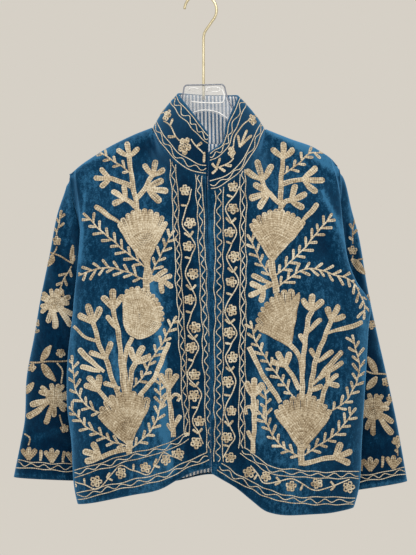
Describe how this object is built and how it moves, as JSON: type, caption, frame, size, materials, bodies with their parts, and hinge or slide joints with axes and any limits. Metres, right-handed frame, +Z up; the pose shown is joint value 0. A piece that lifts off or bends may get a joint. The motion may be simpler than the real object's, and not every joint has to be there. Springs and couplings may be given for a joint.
{
  "type": "embroidered velvet jacket on a clear hanger",
  "caption": "Short open-front blue velvet jacket with a stand collar and cream floral chain-stitch embroidery, on a clear hanger with a brass hook.",
  "frame": {"origin": "inside top of the hanger's hook, where a rail or peg holds it", "axes": "+Z up, -Y the way the jacket's front faces, +X to the right of someone looking at the front"},
  "size_m": [0.5982, 0.1142, 0.773],
  "materials": {
    "velvet_front_right": "velvet pile",
    "velvet_front_left": "velvet pile",
    "velvet_back": "velvet pile",
    "velvet_sleeve_right": "velvet pile",
    "velvet_sleeve_left": "velvet pile",
    "velvet_collar": "velvet pile",
    "striped_cotton_back": "plain weave",
    "striped_cotton_collar": "plain weave",
    "clear_plastic": "clear gloss",
    "pale_brass": "polished"
  },
  "bodies": {
    "root": {"front_right": "velvet_front_right", "front_left": "velvet_front_left", "back": "velvet_back", "back_lining": "striped_cotton_back", "sleeve_right": "velvet_sleeve_right", "sleeve_left": "velvet_sleeve_left", "collar": "velvet_collar", "collar_lining": "striped_cotton_collar", "hanger_body": "clear_plastic", "hanger_hook": "pale_brass"}
  },
  "joints": []
}
